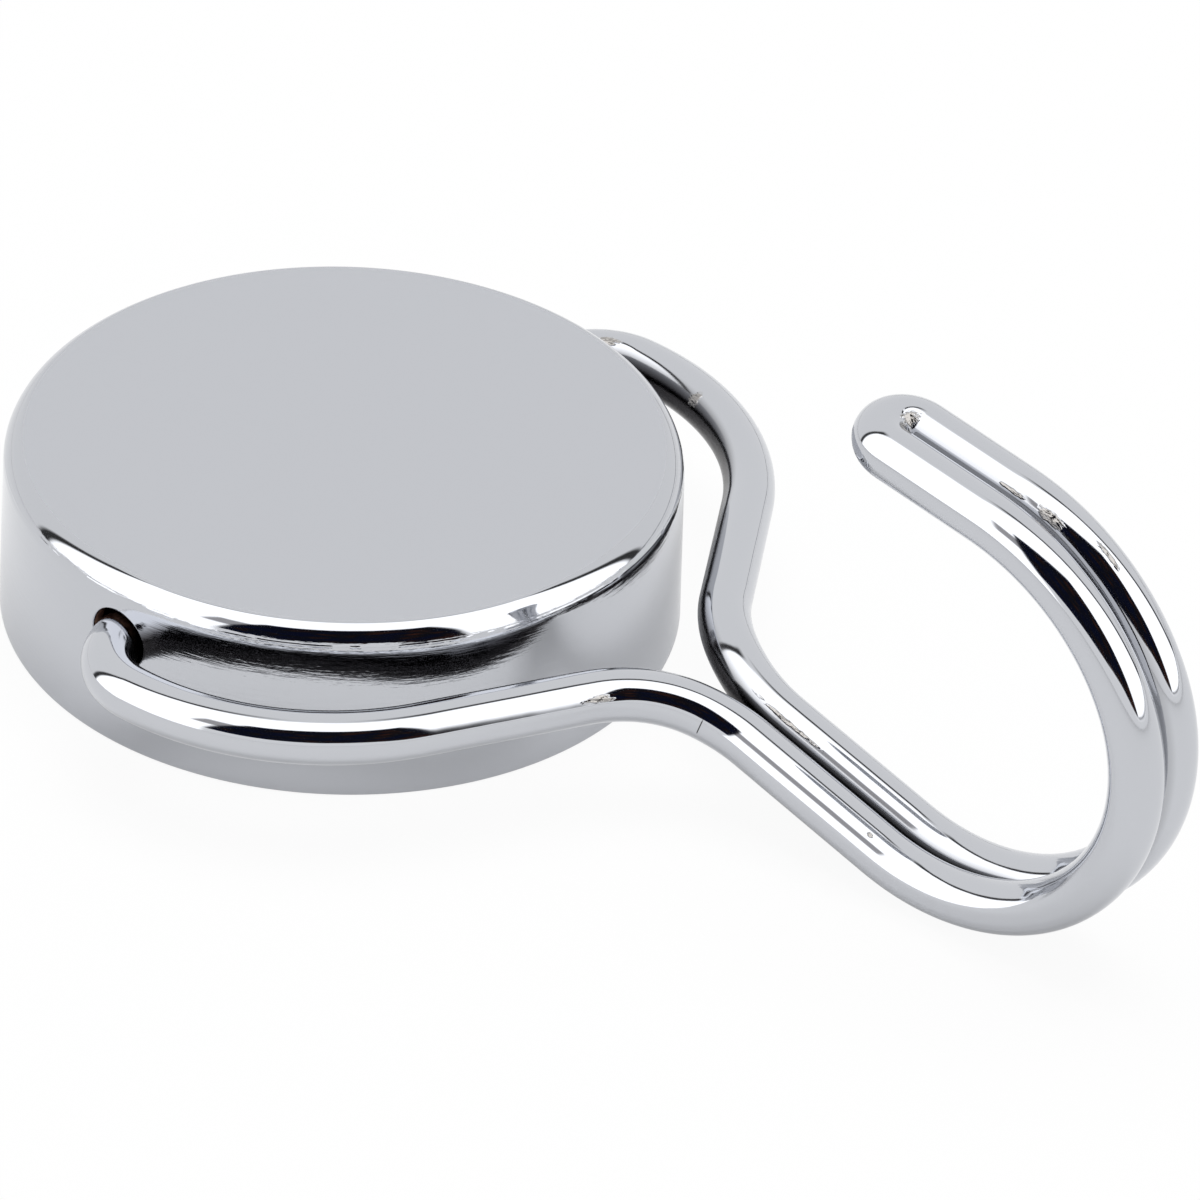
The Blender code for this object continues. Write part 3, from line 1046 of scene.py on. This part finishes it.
def makeSurround():
    look = surround
    world = bpy.data.worlds.new("studioSurround")
    bpy.context.scene.world = world
    world.use_nodes = True
    tree = world.node_tree
    place = addNode(tree, "ShaderNodeTexCoord").outputs["Generated"]
    turned = addNode(tree, "ShaderNodeVectorRotate",
                     {"Vector": place, "Angle": -math.radians(photoCamera["azimuth"])},
                     rotation_type="Z_AXIS")
    split = addNode(tree, "ShaderNodeSeparateXYZ", [turned]).outputs
    ahead = addNode(tree, "ShaderNodeMath", [split["Y"], -1], operation="MULTIPLY")
    turn = addNode(tree, "ShaderNodeMath", [split["X"], ahead], operation="ARCTAN2")
    around = addNode(tree, "ShaderNodeMath", [turn], operation="DEGREES")
    rise = addNode(tree, "ShaderNodeMath", [split["Z"]], operation="ARCSINE")
    upward = addNode(tree, "ShaderNodeMath", [rise], operation="DEGREES")
    above = addNode(tree, "ShaderNodeMath", [upward, 0], operation="MAXIMUM")
    soft = look["edgeSoftness"]
    leftEdge = (look["roomLeft"] - soft, look["roomLeft"] + soft)
    rightEdge = (look["roomRight"] + soft, look["roomRight"] - soft)

    # the room's leaning left side and arched top, and the board's top edge
    square = addNode(tree, "ShaderNodeMath", [above, 2], operation="POWER")
    lean = addNode(tree, "ShaderNodeMath", [square, look["roomLean"]], operation="MULTIPLY")
    upright = addNode(tree, "ShaderNodeMath", [around, lean], operation="SUBTRACT")
    fromMiddle = distanceBetween(tree, around, look["roomMiddle"])
    bow = addNode(tree, "ShaderNodeMath", [fromMiddle, 2], operation="POWER")
    roof = addNode(tree, "ShaderNodeMath", [bow, -look["roomArch"], look["roomTop"]],
                   operation="MULTIPLY_ADD")
    under = addNode(tree, "ShaderNodeMath", [roof, upward], operation="SUBTRACT")
    foot = addNode(tree, "ShaderNodeMapRange",
                   [around, look["roomFootFalls"], look["roomRight"], look["roomFoot"],
                    look["footTop"]], **eased)
    overFoot = addNode(tree, "ShaderNodeMath", [upward, foot], operation="SUBTRACT")
    offFoot = distanceBetween(tree, upward, foot)
    inRoom = insideEdges(tree, [(upright, *leftEdge), (around, *rightEdge),
                                (under, -soft, soft), (overFoot, -soft, soft)])
    inBar = insideEdges(tree, [(around, *look["barLeft"]), (around, *look["barRight"]),
                               (upward, *look["barLow"]), (upward, *look["barHigh"])])
    inFoot = insideEdges(tree, [(around, *leftEdge), (overFoot, 0, -soft)])
    onLine = insideEdges(tree, [(around, *rightEdge[::-1]), (offFoot, look["footLineHeight"], 0)])

    things = addNode(tree, "ShaderNodeTexNoise",
                     {"Vector": place, "Scale": look["roomThings"], "Detail": 3})
    room = addNode(tree, "ShaderNodeValToRGB", [things])
    setTones(room, look["roomTones"])
    mirrored = layeredColour(tree, panelLevel(tree, around, above),
                             [(inBar, linearColour(look["barColour"])),
                              (inFoot, (look["footLevel"],) * 3 + (1,)),
                              (onLine, linearColour(look["footLineColour"])), (inRoom, room)])

    # the camera sees plain white, other rays a plain grey, and only the chrome sees the studio
    rays = addNode(tree, "ShaderNodeLightPath").outputs
    plain = addNode(tree, "ShaderNodeMix", {0: rays["Is Camera Ray"], 2: look["plainLevel"], 3: 1})
    shown = layeredColour(tree, plain, [(rays["Is Glossy Ray"], mirrored)])
    setInputs(tree, tree.nodes["Background"], {"Color": shown})


# One broad soft lamp overhead lays the faint shadow. The chrome doesn't mirror it.
overheadLamp = {
    "place": (0.0, 0.1, 0.7),
    "width": 0.6,
    "depth": 0.5,
    "power": 3.2,
}


def makeLamp():
    lamp = bpy.data.lights.new("overhead", "AREA")
    lamp.shape = "RECTANGLE"
    lamp.size = overheadLamp["width"]
    lamp.size_y = overheadLamp["depth"]
    lamp.energy = overheadLamp["power"]
    lampObject = addObject("overhead", lamp)
    lampObject.location = overheadLamp["place"]
    lampObject.rotation_euler = lampObject.location.to_track_quat("Z", "Y").to_euler()
    lampObject.visible_glossy = False


# The camera of the photograph, fitted to the cup's ellipses and the wire. Its frame is square,
# and cupX and cupY are where the middle of the cup's rim falls in a frame of frameSize pixels.
photoCamera = {
    "azimuth": 36.379,
    "elevation": 34.605,
    "roll": 3.301,
    "distance": 337.86 * mm,
    "lens": 187.7,
    "sensor": 36.0,
    "frameSize": 1200,
    "cupX": 340.9,
    "cupY": 593.5,
}


def makeCamera():
    view = photoCamera
    azimuth, elevation, roll = [math.radians(view[angle])
                                for angle in ("azimuth", "elevation", "roll")]
    back = Vector((math.sin(azimuth) * math.cos(elevation),
                   -math.cos(azimuth) * math.cos(elevation), math.sin(elevation)))
    level = Vector((math.cos(azimuth), math.sin(azimuth), 0))
    upright = back.cross(level)
    right = math.cos(roll) * level + math.sin(roll) * upright
    up = math.cos(roll) * upright - math.sin(roll) * level
    pixelAtCup = view["distance"] * view["sensor"] / view["lens"] / view["frameSize"]
    middle = view["frameSize"] / 2
    place = back * view["distance"]
    place -= right * (view["cupX"] - middle) * pixelAtCup
    place += up * (view["cupY"] - middle) * pixelAtCup
    camera = bpy.data.cameras.new("photoCamera")
    camera.lens = view["lens"]
    camera.sensor_width = view["sensor"]
    cameraObject = addObject("photoCamera", camera)
    turn = Matrix((right, up, back)).transposed().to_4x4()
    cameraObject.matrix_world = Matrix.Translation(place) @ turn
    bpy.context.scene.camera = cameraObject


makeCup(makeCupChrome(), makeBareSteel())
print("cup made")
makeMagnet(makeFerrite())
makeSpacerRing(makeSpacerPlastic())
print("magnet and spacer ring made")
makeHook(makeWireChrome())
print("hook made")
makeTable()
makeSurround()
makeLamp()
makeCamera()
bpy.context.scene.view_settings.view_transform = "Standard"
print("studio made")
